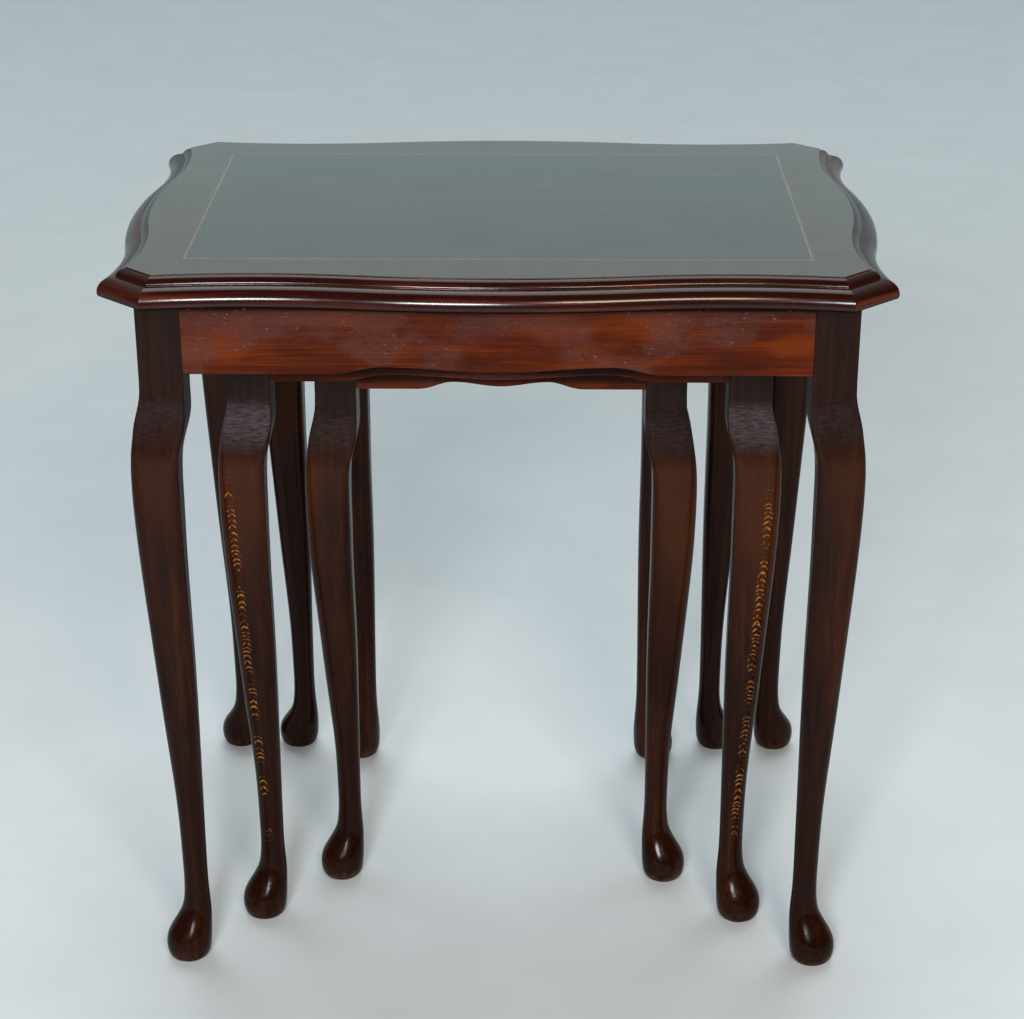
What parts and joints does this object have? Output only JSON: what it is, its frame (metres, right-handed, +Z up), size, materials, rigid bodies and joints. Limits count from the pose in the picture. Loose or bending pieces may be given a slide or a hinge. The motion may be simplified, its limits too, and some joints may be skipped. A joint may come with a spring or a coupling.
{
  "type": "nesting tables",
  "caption": "Nest of occasional tables with serpentine moulded tops, string inlay, shaped aprons and cabriole legs on pad feet; the inner tables slide out at the back.",
  "frame": {"origin": "on the floor, under the centre of the large table's top", "axes": "+X to the right, +Y to the back, the way the inner tables slide out, +Z up"},
  "size_m": [0.532, 0.3812, 0.53],
  "materials": {
    "leg_wood": "dark stained hardwood, semi-gloss varnish",
    "apron_wood": "red-brown mahogany, satin varnish",
    "moulding_wood": "dark red-brown mahogany, high gloss",
    "centre_veneer": "mahogany veneer, polished",
    "cross_banding": "cross-grained mahogany veneer, polished",
    "string_inlay": "pale boxwood string, polished",
    "board_wood": "plain board, unpolished underside",
    "batten_wood": "bare beech, planed",
    "dowel_wood": "bare beech",
    "screw_steel": "plain steel"
  },
  "bodies": {
    "large": {"large_back_left_leg": "leg_wood", "large_back_right_leg": "leg_wood", "large_centre_veneer": "centre_veneer", "large_cross_banding": "cross_banding", "large_dowels": "dowel_wood", "large_edge_moulding": "moulding_wood", "large_front_apron": "apron_wood", "large_front_batten": "batten_wood", "large_front_left_leg": "leg_wood", "large_front_right_leg": "leg_wood", "large_left_apron": "apron_wood", "large_left_batten": "batten_wood", "large_right_apron": "apron_wood", "large_right_batten": "batten_wood", "large_screws": "screw_steel", "large_string_inlay": "string_inlay", "large_top_board": "board_wood"},
    "medium": {"medium_back_left_leg": "leg_wood", "medium_back_right_leg": "leg_wood", "medium_centre_veneer": "centre_veneer", "medium_cross_banding": "cross_banding", "medium_dowels": "dowel_wood", "medium_edge_moulding": "moulding_wood", "medium_front_apron": "apron_wood", "medium_front_batten": "batten_wood", "medium_front_left_leg": "leg_wood", "medium_front_right_leg": "leg_wood", "medium_left_apron": "apron_wood", "medium_left_batten": "batten_wood", "medium_right_apron": "apron_wood", "medium_right_batten": "batten_wood", "medium_screws": "screw_steel", "medium_string_inlay": "string_inlay", "medium_top_board": "board_wood"},
    "small": {"small_back_apron": "apron_wood", "small_back_batten": "batten_wood", "small_back_left_leg": "leg_wood", "small_back_right_leg": "leg_wood", "small_centre_veneer": "centre_veneer", "small_cross_banding": "cross_banding", "small_dowels": "dowel_wood", "small_edge_moulding": "moulding_wood", "small_front_apron": "apron_wood", "small_front_batten": "batten_wood", "small_front_left_leg": "leg_wood", "small_front_right_leg": "leg_wood", "small_left_apron": "apron_wood", "small_left_batten": "batten_wood", "small_right_apron": "apron_wood", "small_right_batten": "batten_wood", "small_screws": "screw_steel", "small_string_inlay": "string_inlay", "small_top_board": "board_wood"}
  },
  "joints": [
    {"name": "medium_slide", "type": "slide", "parent": "large", "child": "medium", "axis": [0, 1, 0], "range_m": [0, 0.34]},
    {"name": "small_slide", "type": "slide", "parent": "medium", "child": "small", "axis": [0, 1, 0], "range_m": [0, 0.29]}
  ]
}
